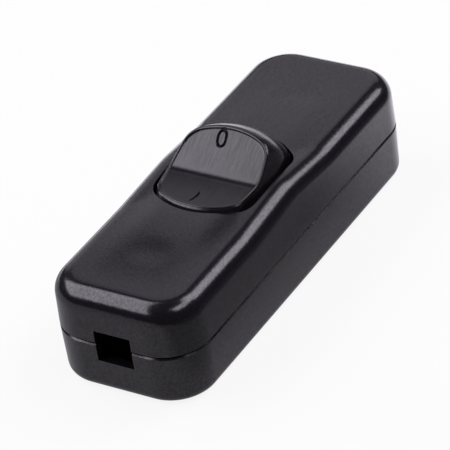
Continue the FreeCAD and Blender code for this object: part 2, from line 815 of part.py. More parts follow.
def screw_hole(side_x, side_y):
    return upright(terminal_screw_radius + thread_clearance, side_x * terminal_screw_x,
                   side_y * terminal_screw_y, plate_height - 1, plate_top + 1)


def make_fulcrum_terminal():
    # Near line terminal whose cross arm carries the knife edge and two cheeks
    x0 = rocker_offset - fulcrum_half_width
    x1 = rocker_offset + fulcrum_half_width
    plate = pad(-1, -1)
    plate = plate.fuse(box(-pad_inner_x, x1, -strip_outer_y, -strip_inner_y, plate_height, plate_top))
    cheek = blade_half_width + fulcrum_cheek_gap
    outer = fulcrum_cheek_outer
    plate = plate.fuse(box(x0, x1, -strip_inner_y, outer, plate_height, plate_top))
    edge_top = blade_hinge_height - blade_thickness / 2 - blade_to_fulcrum_gap
    half = fulcrum_half_width * 0.7
    base = Vector(rocker_offset - half, 0, plate_top)
    crest = [Vector(rocker_offset - 0.3, 0, edge_top), Vector(rocker_offset + 0.3, 0, edge_top)]
    corner = Vector(rocker_offset + half, 0, plate_top)
    edges = [line(base, crest[0]), line(crest[0], crest[1]), line(crest[1], corner), line(corner, base)]
    plate = plate.fuse(prism_xz(edges, -blade_half_width, blade_half_width))
    top = plate_top + fulcrum_cheek_height
    for y0 in (-outer, cheek):
        plate = plate.fuse(box(rocker_offset - half, rocker_offset + half, y0,
                               y0 + fulcrum_cheek_thickness, plate_height, top))
    return plate.cut(screw_hole(-1, -1)).removeSplitter()


def fixed_tip_top():
    # Just below the low corner of the closed moving contact
    reach = tip_contact_offset + tip_contact_radius
    drop = (blade_thickness / 2 + tip_contact_height) * math.cos(blade_tilt)
    return blade_hinge_height - reach * math.sin(blade_tilt) - drop - contact_gap


def make_contact_terminal():
    # Far line terminal that reaches under the moving contact
    x = rocker_offset + tip_contact_offset
    x0 = x - contact_tab_half_width
    x1 = x + contact_tab_half_width
    plate = pad(1, -1)
    plate = plate.fuse(box(x0, pad_inner_x, -strip_outer_y, -strip_inner_y, plate_height, plate_top))
    plate = plate.fuse(box(x0, x1, -strip_inner_y, blade_half_width, plate_height, plate_top))
    plate = plate.cut(upright(rivet_tail_radius + thread_clearance, x, 0, 0, plate_top + 1))
    return plate.cut(screw_hole(1, -1)).removeSplitter()


def make_fixed_tip():
    x = rocker_offset + tip_contact_offset
    head = upright(fixed_tip_radius, x, 0, plate_top, fixed_tip_top())
    return head.fuse(upright(rivet_tail_radius, x, 0, plate_height, plate_top)).removeSplitter()


def make_neutral_link():
    # Straight bar from one cord to the other
    bar = pad(-1, 1).fuse(pad(1, 1))
    bar = bar.fuse(box(-pad_inner_x, pad_inner_x, strip_inner_y, strip_outer_y, plate_height, plate_top))
    return bar.cut(screw_hole(-1, 1)).cut(screw_hole(1, 1)).removeSplitter()


def slotted_screw(x, y, head_bottom, radius, length, head_radius, head_height, slot_width, slot_depth):
    # Cheese head with a bevelled rim and a straight slot, shank pointing down
    top = head_bottom + head_height
    head = upright(head_radius, x, y, head_bottom, top)
    head = head.makeChamfer(head_bevel, swept_edges(head, top - fillet_margin, top + fillet_margin))
    slot = box(x - head_radius - 1, x + head_radius + 1, y - slot_width / 2, y + slot_width / 2,
               top - slot_depth, top + 1)
    shank = upright(radius, x, y, head_bottom - length, head_bottom)
    return head.cut(slot).fuse(shank).removeSplitter()


def make_terminal_screw(side_x, side_y):
    return slotted_screw(side_x * terminal_screw_x, side_y * terminal_screw_y,
                         plate_top + washer_thickness, terminal_screw_radius, terminal_screw_length,
                         terminal_head_radius, terminal_head_height,
                         terminal_slot_width, terminal_slot_depth)


def make_washer(side_x, side_y):
    # Square clamping washer with its inner edge curled down
    x = side_x * terminal_screw_x
    y = side_y * terminal_screw_y
    s = washer_half_side
    plate = box(x - s, x + s, y - s, y + s, plate_top, plate_top + washer_thickness)
    upright_edges = [e for e in plate.Edges if e.BoundBox.ZLength > washer_thickness / 2]
    plate = plate.makeFillet(washer_corner, upright_edges)
    return plate.cut(upright(terminal_screw_radius + thread_clearance, x, y, plate_top - 1, plate_top + 3))


def make_clamp(side):
    # Arched strap over the cord, with a tooth along its crown
    x = side * clamp_offset
    x0 = x - clamp_half_length
    x1 = x + clamp_half_length
    top = clamp_seat_height + clamp_thickness
    strap = box(x0, x1, -clamp_half_width, clamp_half_width, clamp_seat_height, top)
    centre = Vector(x0, 0, seam_height)
    outer = Part.makeCylinder(clamp_arch_radius + clamp_arch_wall, x1 - x0, centre, Vector(1, 0, 0))
    inner = Part.makeCylinder(clamp_arch_radius, x1 - x0 + 2, centre - Vector(1, 0, 0), Vector(1, 0, 0))
    above = box(x0 - 1, x1 + 1, -half_width, half_width, clamp_seat_height, end_height)
    strap = strap.fuse(outer.common(above)).cut(inner)
    strap = strap.cut(box(x0 - 1, x1 + 1, -clamp_arch_radius, clamp_arch_radius,
                          clamp_seat_height - 1, seam_height))
    crown = seam_height + clamp_arch_radius
    tooth = [Vector(x - 0.6, 0, crown + 0.2), Vector(x, 0, crown - clamp_tooth_height),
             Vector(x + 0.6, 0, crown + 0.2)]
    edges = [line(a, b) for a, b in zip(tooth, tooth[1:] + tooth[:1])]
    strap = strap.fuse(prism_xz(edges, -clamp_arch_radius / 3, clamp_arch_radius / 3))
    for y in (-clamp_post_y, clamp_post_y):
        strap = strap.cut(upright(clamp_screw_radius + thread_clearance * 3, x, y, 0, end_height))
        ends = [e for e in strap.Edges if e.BoundBox.ZLength > clamp_thickness * 0.9
                and abs(e.BoundBox.YMin) > clamp_half_width - 0.1 and e.BoundBox.YLength < 0.1]
    return strap.makeFillet(clamp_half_length * 0.6, ends).removeSplitter()


def make_clamp_screws(side):
    pair = []
    for y in (-clamp_post_y, clamp_post_y):
        pair.append(slotted_screw(side * clamp_offset, y, clamp_seat_height + clamp_thickness,
                                  clamp_screw_radius, clamp_screw_length - 0.2, clamp_head_radius,
                                  clamp_head_height, clamp_slot_width, clamp_slot_depth))
    return Part.Compound(pair)


def make_cover_screw(side):
    # Cheese head screw driven up from the underside, with a pointed tip
    x = side * boss_offset
    head_low = counterbore_depth - cover_screw_head_height
    head = upright(cover_screw_head_radius, x, 0, head_low, counterbore_depth)
    rim = swept_edges(head, head_low - fillet_margin, head_low + fillet_margin)
    head = head.makeChamfer(head_bevel, rim)
    slot = cover_screw_slot_width / 2
    head = head.cut(box(x - cover_screw_head_radius - 1, x + cover_screw_head_radius + 1, -slot, slot,
                        head_low - 1, head_low + cover_screw_slot_depth))
    tip = cover_screw_tip()
    shank = upright(cover_screw_shank_radius, x, 0, counterbore_depth, tip - tip_point_length)
    point = Part.makeCone(cover_screw_shank_radius, cover_screw_shank_radius * 0.3, tip_point_length,
                          Vector(x, 0, tip - tip_point_length))
    return head.fuse(shank).fuse(point).removeSplitter()


nodes = {
    "upper_shell": make_upper_shell(),
    "lower_cover": make_lower_cover(),
    "rocker": make_rocker(),
    "spring_plunger": make_plunger(),
    "drive_spring": make_drive_spring(),
    "contact_blade": make_contact_blade(),
    "moving_contact_tip": make_moving_tip(),
    "fulcrum_terminal": make_fulcrum_terminal(),
    "contact_terminal": make_contact_terminal(),
    "fixed_contact_tip": make_fixed_tip(),
    "neutral_link": make_neutral_link(),
    "line_in_screw": make_terminal_screw(-1, -1),
    "line_out_screw": make_terminal_screw(1, -1),
    "neutral_in_screw": make_terminal_screw(-1, 1),
    "neutral_out_screw": make_terminal_screw(1, 1),
    "line_in_washer": make_washer(-1, -1),
    "line_out_washer": make_washer(1, -1),
    "neutral_in_washer": make_washer(-1, 1),
    "neutral_out_washer": make_washer(1, 1),
    "cord_clamp_near": make_clamp(-1),
    "cord_clamp_far": make_clamp(1),
    "clamp_screws_near": make_clamp_screws(-1),
    "clamp_screws_far": make_clamp_screws(1),
    "cover_screw_near": make_cover_screw(-1),
    "cover_screw_far": make_cover_screw(1),
}

for name, shape in nodes.items():
    shape.exportStep("parts/" + name + ".step")
    box_of = shape.BoundBox
    print(name, shape.ShapeType, len(shape.Solids), shape.isValid(), round(shape.Volume, 1),
          [round(v, 2) for v in (box_of.XMin, box_of.XMax, box_of.YMin, box_of.YMax, box_of.ZMin, box_of.ZMax)])
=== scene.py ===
import bpy, bmesh, math, json
from mathutils import Vector, Matrix


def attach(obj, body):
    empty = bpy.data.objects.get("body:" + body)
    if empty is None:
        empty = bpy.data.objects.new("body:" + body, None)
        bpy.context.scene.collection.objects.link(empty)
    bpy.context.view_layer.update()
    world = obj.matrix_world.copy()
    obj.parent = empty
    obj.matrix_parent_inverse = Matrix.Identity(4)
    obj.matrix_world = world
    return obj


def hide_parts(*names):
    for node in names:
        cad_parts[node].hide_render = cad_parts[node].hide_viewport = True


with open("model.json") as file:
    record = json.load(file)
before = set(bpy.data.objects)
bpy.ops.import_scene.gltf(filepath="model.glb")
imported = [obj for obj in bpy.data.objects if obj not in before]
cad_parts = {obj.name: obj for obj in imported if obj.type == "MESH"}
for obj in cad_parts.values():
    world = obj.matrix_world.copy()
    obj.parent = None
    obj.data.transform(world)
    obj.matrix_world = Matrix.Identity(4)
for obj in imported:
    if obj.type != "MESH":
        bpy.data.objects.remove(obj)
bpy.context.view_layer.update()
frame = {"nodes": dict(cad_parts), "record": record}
mm = 0.001
creaseAngle = math.radians(32)      # edges sharper than this stay crisp
print("frame loaded")


# small helpers for materials and meshes; the pieces are written in millimetres
def linear(hexText):
    parts = [int(hexText[i:i + 2], 16) / 255 for i in (1, 3, 5)]
    return (*[c / 12.92 if c <= 0.04045 else ((c + 0.055) / 1.055) ** 2.4 for c in parts], 1.0)


def addNode(tree, kind, settings=None, values=None, links=None):
    node = tree.nodes.new(kind)
    for name, value in (settings or {}).items():
        setattr(node, name, value)
    for name, value in (values or {}).items():
        node.inputs[name].default_value = value
    for name, socket in (links or {}).items():
        tree.links.new(socket, node.inputs[name])
    return node


def newMaterial(name):
    material = bpy.data.materials.new(name)
    material.use_nodes = True
    material.node_tree.nodes.clear()
    return material, material.node_tree


def smoothStep(t):
    t = min(max(t, 0.0), 1.0)
    return t * t * (3 - 2 * t)


def addObject(name, data):
    thing = bpy.data.objects.new(name, data)
    bpy.context.scene.collection.objects.link(thing)
    return thing


def startRing(bm, points, place):
    # closed loop; each vertex keeps its share of the way round
    share = bm.verts.layers.float.get("share") or bm.verts.layers.float.new("share")
    ring = bmesh.ops.create_circle(bm, segments=points, radius=1.0, cap_ends=False)["verts"]
    for vert in ring:
        vert[share] = (math.atan2(vert.co.y, vert.co.x) / (2 * math.pi)) % 1.0
        vert.co = Vector(place(vert[share])) * mm
    found = set(ring)
    return [e for e in bm.edges if e.verts[0] in found and e.verts[1] in found]


def nextRing(bm, edges, place):
    # pulls the loop out to its next place
    made = bmesh.ops.extrude_edge_only(bm, edges=edges)["geom"]
    ring = {g for g in made if isinstance(g, bmesh.types.BMVert)}
    share = bm.verts.layers.float["share"]
    for vert in ring:
        vert.co = Vector(place(vert[share])) * mm
    return [g for g in made if isinstance(g, bmesh.types.BMEdge) and g.verts[0] in ring and g.verts[1] in ring]


def closeRing(bm, edges, centre):
    # last loop drawn together to a point
    verts = list({v for e in edges for v in e.verts})
    bmesh.ops.pointmerge(bm, verts=verts, merge_co=Vector(centre) * mm)


def hollowPost(bm, x, post):
    # round post at x, bored up from its foot
    made = bmesh.ops.create_cone(bm, cap_ends=True, segments=post["segments"], radius1=post["radius"] * mm,
                                 radius2=post["radius"] * mm, depth=(post["top"] - post["bottom"]) * mm)["verts"]
    bmesh.ops.translate(bm, verts=made, vec=Vector((x, 0, (post["top"] + post["bottom"]) / 2)) * mm)
    foot = [f for f in {f for v in made for f in v.link_faces} if f.normal.z < -0.9]
    bmesh.ops.inset_region(bm, faces=foot, thickness=(post["radius"] - post["bore"]) * mm)
    sunk = bmesh.ops.extrude_discrete_faces(bm, faces=foot)["faces"]
    deepest = list({v for f in sunk for v in f.verts})
    bmesh.ops.translate(bm, verts=deepest, vec=Vector((0, 0, post["boreDepth"] * mm)))


def smoothMesh(mesh):
    for face in mesh.polygons:
        face.use_smooth = True
    mesh.set_sharp_from_angle(angle=creaseAngle)


def finishMesh(bm, name, material):
    bmesh.ops.remove_doubles(bm, verts=bm.verts, dist=1e-7)
    bmesh.ops.recalc_face_normals(bm, faces=bm.faces)
    mesh = bpy.data.meshes.new(name)
    bm.to_mesh(mesh)
    bm.free()
    mesh.materials.append(material)
    smoothMesh(mesh)
    return addObject(name, mesh)


def carve(piece, tool):
    # the tool is cut away at once, and goes
    modifier = piece.modifiers.new("carve", "BOOLEAN")
    modifier.object = tool
    modifier.operation = "DIFFERENCE"
    modifier.solver = "EXACT"
    bpy.context.view_layer.update()
    shaped = bpy.data.meshes.new_from_object(piece.evaluated_get(bpy.context.evaluated_depsgraph_get()))
    piece.modifiers.clear()
    piece.data = shaped
    bpy.data.objects.remove(tool)
    smoothMesh(shaped)


def blockTool(low, high):
    bm = bmesh.new()
    bmesh.ops.create_cube(bm, size=1.0)
    for vert in bm.verts:
        vert.co = Vector([(high[i] if vert.co[i] > 0 else low[i]) * mm for i in range(3)])
    tool = addObject("tool", bpy.data.meshes.new("tool"))
    bm.to_mesh(tool.data)
    bm.free()
    return tool


# camera, at the photograph's angle; place in metres, then its three axes
cameraView = {
    "place": (-0.3792019, -0.2665292, 0.3317138),
    "right": (0.499634, -0.857068, -0.125705),
    "up": (0.54981, 0.201627, 0.81059),
    "back": (-0.669384, -0.474112, 0.571964),
    "lens": 252.3223,
    "sensor": 36.0,
    "nearClip": 0.01,
}
cameraData = bpy.data.cameras.new("camera")
cameraData.lens = cameraView["lens"]
cameraData.sensor_width = cameraView["sensor"]
cameraData.clip_start = cameraView["nearClip"]
camera = addObject("camera", cameraData)
turn = Matrix((cameraView["right"], cameraView["up"], cameraView["back"])).transposed().to_4x4()
camera.matrix_world = Matrix.Translation(Vector(cameraView["place"])) @ turn
bpy.context.scene.camera = camera
print("camera set")


# black ABS, injection moulded in a polished tool: deep black, with clear soft reflections that a faint
# orange-peel mottling breaks up; sizes and depths in millimetres
absShell = {
    "colour": "#121015", "ior": 1.53,
    "roughness": 0.18, "glossier": 0.03, "duller": 0.06,
    "peelSize": 0.9, "peelDepth": 0.02, "peelStrength": 0.4,
    "grainSize": 0.42, "grainDepth": 0.012, "grainStrength": 0.5,
    "cloudLow": 0.34, "cloudHigh": 0.66,
    "sinkPlace": (25.8, 0.6, 19.8), "sinkReach": 4.6, "sinkDepth": 0.06,
}
noiseBand = {"From Min": 0.3, "From Max": 0.7}      # where most of a noise's values lie
shellPlastic, tree = newMaterial("mouldedBlackAbs")
place = addNode(tree, "ShaderNodeTexCoord")
peel = addNode(tree, "ShaderNodeTexNoise",
               values={"Scale": 1 / (absShell["peelSize"] * mm), "Detail": 3.0, "Roughness": 0.6},
               links={"Vector": place.outputs["Object"]})
grain = addNode(tree, "ShaderNodeTexNoise",
                values={"Scale": 1 / (absShell["grainSize"] * mm), "Detail": 2.0, "Roughness": 0.6},
                links={"Vector": place.outputs["Object"]})
gloss = addNode(tree, "ShaderNodeMapRange",
                values={"To Min": absShell["roughness"] - absShell["glossier"],
                        "To Max": absShell["roughness"] + absShell["duller"]},
                links={"Value": grain.outputs["Fac"]})
# shallow sink marks where the screw bosses meet the top, mirrored to both ends
mirrored = addNode(tree, "ShaderNodeVectorMath", settings={"operation": "ABSOLUTE"},
                   links={0: place.outputs["Object"]})
fromBoss = addNode(tree, "ShaderNodeVectorMath", settings={"operation": "DISTANCE"},
                   values={1: [v * mm for v in absShell["sinkPlace"]]}, links={0: mirrored.outputs[0]})
sink = addNode(tree, "ShaderNodeMapRange", settings={"interpolation_type": "SMOOTHSTEP"},
               values={"From Max": absShell["sinkReach"] * mm}, links={"Value": fromBoss.outputs["Value"]})
sinkBump = addNode(tree, "ShaderNodeBump", values={"Distance": absShell["sinkDepth"] * mm},
                   links={"Height": sink.outputs["Result"]})
peelBump = addNode(tree, "ShaderNodeBump",
                   values={"Strength": absShell["peelStrength"], "Distance": absShell["peelDepth"] * mm},
                   links={"Height": peel.outputs["Fac"], "Normal": sinkBump.outputs["Normal"]})
grainBump = addNode(tree, "ShaderNodeBump",
                    values={"Strength": absShell["grainStrength"], "Distance": absShell["grainDepth"] * mm},
                    links={"Height": grain.outputs["Fac"], "Normal": peelBump.outputs["Normal"]})
cloud = addNode(tree, "ShaderNodeMapRange",
                values={**noiseBand, "To Min": absShell["cloudLow"], "To Max": absShell["cloudHigh"]},
                links={"Value": grain.outputs["Fac"]})
shader = addNode(tree, "ShaderNodeBsdfPrincipled",
                 values={"Base Color": linear(absShell["colour"]), "IOR": absShell["ior"]},
                 links={"Roughness": gloss.outputs["Result"], "Normal": grainBump.outputs["Normal"],
                        "Specular IOR Level": cloud.outputs["Result"]})
addNode(tree, "ShaderNodeOutputMaterial", links={"Surface": shader.outputs["BSDF"]})

# the rocker's ABS, polished along its length: a finer sheen, with streaks that run from pivot to tip,
# drawn 0.2 mm wide, which is about as narrow as the render can show
absRocker = {
    "colour": "#100e12", "ior": 1.53,
    "roughness": 0.18, "glossier": 0.08, "duller": 0.1,
    "streakWidth": 0.2, "streakLength": 3.6, "streakTilt": 18.0,
    "streakDepth": 0.03, "streakStrength": 0.45,
    "rubbedLow": 0.34, "rubbedHigh": 0.62,
}
rockerPlastic, tree = newMaterial("polishedBlackAbs")
place = addNode(tree, "ShaderNodeTexCoord")
perLength, perWidth = 1 / (absRocker["streakLength"] * mm), 1 / (absRocker["streakWidth"] * mm)
along = addNode(tree, "ShaderNodeMapping",
                values={"Rotation": (0, math.radians(absRocker["streakTilt"]), 0),
                        "Scale": (perLength, perWidth, perLength)},
                links={"Vector": place.outputs["Object"]})
streaks = addNode(tree, "ShaderNodeTexNoise", values={"Scale": 1.0, "Detail": 3.0, "Roughness": 0.65},
                  links={"Vector": along.outputs["Vector"]})
gloss = addNode(tree, "ShaderNodeMapRange",
                values={"To Min": absRocker["roughness"] - absRocker["glossier"],
                        "To Max": absRocker["roughness"] + absRocker["duller"]},
                links={"Value": streaks.outputs["Fac"]})
bump = addNode(tree, "ShaderNodeBump",
               values={"Strength": absRocker["streakStrength"], "Distance": absRocker["streakDepth"] * mm},
               links={"Height": streaks.outputs["Fac"]})
rubbed = addNode(tree, "ShaderNodeMapRange",
                 values={**noiseBand, "To Min": absRocker["rubbedLow"], "To Max": absRocker["rubbedHigh"]},
                 links={"Value": streaks.outputs["Fac"]})
shader = addNode(tree, "ShaderNodeBsdfPrincipled",
                 values={"Base Color": linear(absRocker["colour"]), "IOR": absRocker["ior"]},
                 links={"Roughness": gloss.outputs["Result"], "Normal": bump.outputs["Normal"],
                        "Specular IOR Level": rubbed.outputs["Result"]})
addNode(tree, "ShaderNodeOutputMaterial", links={"Surface": shader.outputs["BSDF"]})

# the pieces inside: two tones, sheen and its spread, grain and relief in millimetres
innerFinishes = {
    # moulded nylon of the cord clamps: dull, faintly grained
    "black_inner": {"name": "mouldedNylon", "tones": ("#1c1c1d", "#242425"), "metallic": 0.0,
                    "roughness": 0.5, "spread": 0.06, "grain": 0.3, "relief": 0.02},
    # brass, stamped from rolled strip: warm, softly brushed
    "brass": {"name": "rolledBrass", "tones": ("#c9a25a", "#d8b56c"), "metallic": 1.0,
              "roughness": 0.28, "spread": 0.08, "grain": 0.5, "relief": 0.01},
    # silver-plated contact rivets: pale, slightly dulled
    "silver_contact": {"name": "silverContact", "tones": ("#dcdad2", "#c4c2ba"), "metallic": 1.0,
                       "roughness": 0.22, "spread": 0.06, "grain": 0.3, "relief": 0.01},
    # drawn spring wire: grey, with bright lines
    "spring_steel": {"name": "drawnSteelWire", "tones": ("#8c8c90", "#a5a5a8"), "metallic": 1.0,
                     "roughness": 0.3, "spread": 0.08, "grain": 0.2, "relief": 0.01},
    # zinc-plated screws and washers: cool, cloudy plating
    "zinc_steel": {"name": "zincPlatedSteel", "tones": ("#a9adb2", "#c2c5c8"), "metallic": 1.0,
                   "roughness": 0.32, "spread": 0.1, "grain": 0.4, "relief": 0.01},
}


def innerMaterial(look):
    # one noise drives sheen, tone and a little relief
    material, tree = newMaterial(look["name"])
    place = addNode(tree, "ShaderNodeTexCoord")
    noise = addNode(tree, "ShaderNodeTexNoise", values={"Scale": 1 / (look["grain"] * mm), "Detail": 4.0},
                    links={"Vector": place.outputs["Object"]})
    gloss = addNode(tree, "ShaderNodeMapRange",
                    values={"To Min": look["roughness"] - look["spread"],
                            "To Max": look["roughness"] + look["spread"]},
                    links={"Value": noise.outputs["Fac"]})
    tone = addNode(tree, "ShaderNodeMix", settings={"data_type": "RGBA"},
                   values={6: linear(look["tones"][0]), 7: linear(look["tones"][1])},
                   links={0: noise.outputs["Fac"]})
    bump = addNode(tree, "ShaderNodeBump", values={"Strength": 0.3, "Distance": look["relief"] * mm},
                   links={"Height": noise.outputs["Fac"]})
    shader = addNode(tree, "ShaderNodeBsdfPrincipled", values={"Metallic": look["metallic"]},
                     links={"Base Color": tone.outputs[2], "Roughness": gloss.outputs["Result"],
                            "Normal": bump.outputs["Normal"]})
    addNode(tree, "ShaderNodeOutputMaterial", links={"Surface": shader.outputs["BSDF"]})
    return material


finishes = {slot: innerMaterial(look) for slot, look in innerFinishes.items()}
finishes["black_shell"] = shellPlastic
finishes["black_rocker"] = rockerPlastic
slotOf = {item["node"]: item["material_slot"] for item in frame["record"]["subparts"]}
for name, node in frame["nodes"].items():
    node.data.materials.clear()
    node.data.materials.append(finishes[slotOf[name]])
print("materials made")


# upper shell: a rounded tub upside down, swollen and waisted beside the rocker, with a low lip round its opening
shell = {
    "halfLength": 41.0, "halfWidth": 14.6, "planRadius": 8.0, "points": 320,
    "seam": 10.2, "seamRound": 0.12, "endHeight": 19.8, "topRadius": 3.5, "draft": 0.25,
    "wallLevels": (0.035, 0.12, 0.5, 1.4, 2.3, 3.2, 4.1, 5.0),      # above the seam
    "filletSteps": 16, "topSteps": 28,
    "waist": 0.25, "waistLow": 10.5, "waistHigh": 16.5, "waistSpread": 1.2,
    "sideRise": 0.98, "swellNear": 14.5, "swellFar": 12.0, "swellPeak": 1.0, "swellFoot": 0.1,
    "crownNear": 0.85, "crownFar": 0.5, "crownBlend": 24.0,
    "fallNear": 22.0, "fallFar": 20.0, "fallFrom": 4.0, "fallTo": 12.0,
    "wall": 1.8, "wallTop": 16.0, "roofInset": 3.8, "roofDrop": 0.8,
}
opening = {
    "centre": -0.9, "halfLength": 12.78, "halfWidth": 10.25, "endBow": 12.9, "sideBow": 140.0, "corner": 4.4,
    "lipRound": 0.1, "lipSteps": ((0.09, 0.03), (0.03, 0.09), (0.0, 0.2), (0.0, 0.3)),      # outward, down
    "flareEnd": 1.7, "flareSide": 0.2, "underside": 18.8,
}


def roundedPoint(share, inset):
    # point on the shell's rounded rectangle, by the share of its length from +X
    radius = shell["planRadius"]
    straightX, straightY = shell["halfLength"] - radius, shell["halfWidth"] - radius
    arc = math.pi * radius / 2
    quarter = straightX + straightY + arc
    walk = (share * 4) % 1.0 * quarter
    side = int(share * 4) % 4
    if side % 2:
        walk = quarter - walk
    if walk < straightY:
        x, y, nx, ny = shell["halfLength"], walk, 1.0, 0.0
    elif walk < straightY + arc:
        angle = (walk - straightY) / radius
        nx, ny = math.cos(angle), math.sin(angle)
        x, y = straightX + radius * nx, straightY + radius * ny
    else:
        x, y, nx, ny = straightX - (walk - straightY - arc), shell["halfWidth"], 0.0, 1.0
    flipX = -1 if side in (1, 2) else 1
    flipY = -1 if side in (2, 3) else 1
    return (x - inset * nx) * flipX, (y - inset * ny) * flipY


def bowedReach(angle, halfLength, halfWidth, endBow, sideBow, corner):
    # distance from the middle to a four-sided outline, whose ends and sides are arcs of radius endBow and
    # sideBow, joined by corner arcs that touch both
    ahead, aside = abs(math.cos(angle)), abs(math.sin(angle))
    endX, sideY = halfLength - endBow, halfWidth - sideBow
    span = math.hypot(endX, sideY)
    endReach, sideReach = endBow - corner, sideBow - corner
    offset = (endReach ** 2 - sideReach ** 2 + span ** 2) / (2 * span)
    rise = math.sqrt(endReach ** 2 - offset ** 2)
    ux, uy = -endX / span, sideY / span
    cornerX, cornerY = endX + offset * ux - rise * uy, offset * uy + rise * ux
    if cornerX < 0 or cornerY < 0:      # then the corner arc's middle is the other crossing
        cornerX, cornerY = endX + offset * ux + rise * uy, offset * uy - rise * ux
    endAngle = math.atan2(cornerY, cornerX - endX)
    sideAngle = math.atan2(cornerY - sideY, cornerX)
    lowTurn = math.atan2(endBow * math.sin(endAngle), endX + endBow * math.cos(endAngle))
    highTurn = math.atan2(sideY + sideBow * math.sin(sideAngle), sideBow * math.cos(sideAngle))
    turn = math.atan2(aside, ahead)
    if turn <= lowTurn:
        middleX, middleY, radius = endX, 0.0, endBow
    elif turn >= highTurn:
        middleX, middleY, radius = 0.0, sideY, sideBow
    else:
        middleX, middleY, radius = cornerX, cornerY, corner
    along = ahead * middleX + aside * middleY
    return along + math.sqrt(along ** 2 - middleX ** 2 - middleY ** 2 + radius ** 2)


def openingReach(angle, grow, sideGrow):
    return bowedReach(angle, opening["halfLength"] + grow, opening["halfWidth"] + sideGrow,
                      opening["endBow"] + grow, opening["sideBow"] + sideGrow, opening["corner"] + sideGrow)


def openingPoint(share, grow, sideGrow):
    # point on the opening's outline, in line with the shell's own point at that share
    outX, outY = roundedPoint(share, 0)
    angle = math.atan2(outY, outX - opening["centre"])
    reach = openingReach(angle, grow, sideGrow)
    return opening["centre"] + reach * math.cos(angle), reach * math.sin(angle)


def bell(x):
    # the swelling beside the rocker: straight flanks, a softened peak and soft feet
    flank = shell["swellNear"] if x < 0 else shell["swellFar"]
    rise = max(0.0, 1 - (math.hypot(x, shell["swellPeak"]) - shell["swellPeak"]) / flank)
    return rise * rise / (rise + shell["swellFoot"]) * (1 + shell["swellFoot"])


def crownLift(x, y):
    # raised lip at both ends of the opening, falling slowly along the body and gone at its sides
    dx = x - opening["centre"]
    beyond = max(0.0, 1 - openingReach(math.atan2(y, dx), 0, 0) / max(math.hypot(dx, y), 1e-6)) * abs(dx)
    share = smoothStep(dx / shell["crownBlend"] + 0.5)
    crown = shell["crownNear"] + (shell["crownFar"] - shell["crownNear"]) * share
    fall = shell["fallNear"] + (shell["fallFar"] - shell["fallNear"]) * share
    aside = (abs(y) - shell["fallFrom"]) / (shell["fallTo"] - shell["fallFrom"])
    crown *= (1 - smoothStep(beyond / fall)) * (1 - smoothStep(aside))
    side = shell["sideRise"] * bell(x)
    return (crown ** 4 + side ** 4) ** 0.25      # about the higher of the two, without a crease


def waistPull(x, z):
    return shell["waist"] * bell(x) * smoothStep((z - shell["waistLow"]) / (shell["waistHigh"] - shell["waistLow"]))


def shellSkin(share, inset, z):
    # outer skin, with draft, waist and crown all applied
    top, seam = shell["endHeight"], shell["seam"]
    lean = shell["draft"] * (z - seam) / (top - seam)
    x, y = roundedPoint(share, inset + lean)
    y -= math.copysign(waistPull(x, z) * min(1.0, abs(y) / shell["halfWidth"] * shell["waistSpread"]), y)
    rise = smoothStep((z - seam) / (top - shell["topRadius"] - seam))
    return x, y, z + crownLift(x, y) * rise


def topStep(share, t):
    # from the fillet's inner edge to the lip of the opening, on the crowned top
    x0, y0 = shellSkin(share, shell["topRadius"], shell["endHeight"])[:2]
    x1, y1 = openingPoint(share, opening["lipRound"], opening["lipRound"])
    x, y = x0 + (x1 - x0) * t, y0 + (y1 - y0) * t
    return x, y, shell["endHeight"] + crownLift(x, y)


def lipStep(share, grow, drop):
    x, y = openingPoint(share, grow, grow)
    return x, y, shell["endHeight"] + crownLift(x, y) - drop


def wallStep(share, level):
    inset = shell["seamRound"] * (1 - min(1.0, level / shell["seamRound"])) ** 2
    return shellSkin(share, inset, shell["seam"] + level)


def filletStep(share, bend):
    r = shell["topRadius"]
    return shellSkin(share, r - r * math.cos(bend), shell["endHeight"] - r + r * math.sin(bend))


bm = bmesh.new()
ring = firstRing = startRing(bm, shell["points"], lambda s: wallStep(s, 0))
for level in (*shell["wallLevels"], shell["endHeight"] - shell["topRadius"] - shell["seam"]):
    ring = nextRing(bm, ring, lambda s: wallStep(s, level))
for step in range(1, shell["filletSteps"] + 1):
    ring = nextRing(bm, ring, lambda s: filletStep(s, math.pi / 2 * step / shell["filletSteps"]))
for step in range(1, shell["topSteps"] + 1):
    ring = nextRing(bm, ring, lambda s: topStep(s, step / shell["topSteps"]))
for grow, drop in opening["lipSteps"]:
    ring = nextRing(bm, ring, lambda s: lipStep(s, grow, drop))
# underside of the top, then the inner wall down to the seam
under = opening["underside"]
ring = nextRing(bm, ring, lambda s: (*openingPoint(s, opening["flareEnd"], opening["flareSide"]), under))
for inset, z in ((shell["roofInset"], under - shell["roofDrop"]), (shell["wall"], shell["wallTop"]),
                 (shell["wall"], shell["seam"])):
    ring = nextRing(bm, ring, lambda s: (*roundedPoint(s, inset), z))
bmesh.ops.bridge_loops(bm, edges=ring + firstRing)
upperShell = finishMesh(bm, "upperShell", shellPlastic)
print("upper shell raised", len(upperShell.data.polygons))

# the upper half of the square cord entry in each end wall
entry = {"halfWidth": 3.65, "low": 6.5, "high": 12.8, "inner": 38.0, "outer": 42.0}
for end in (-1, 1):
    x0, x1 = sorted((end * entry["inner"], end * entry["outer"]))
    carve(upperShell, blockTool((x0, -entry["halfWidth"], entry["low"]), (x1, entry["halfWidth"], entry["high"])))

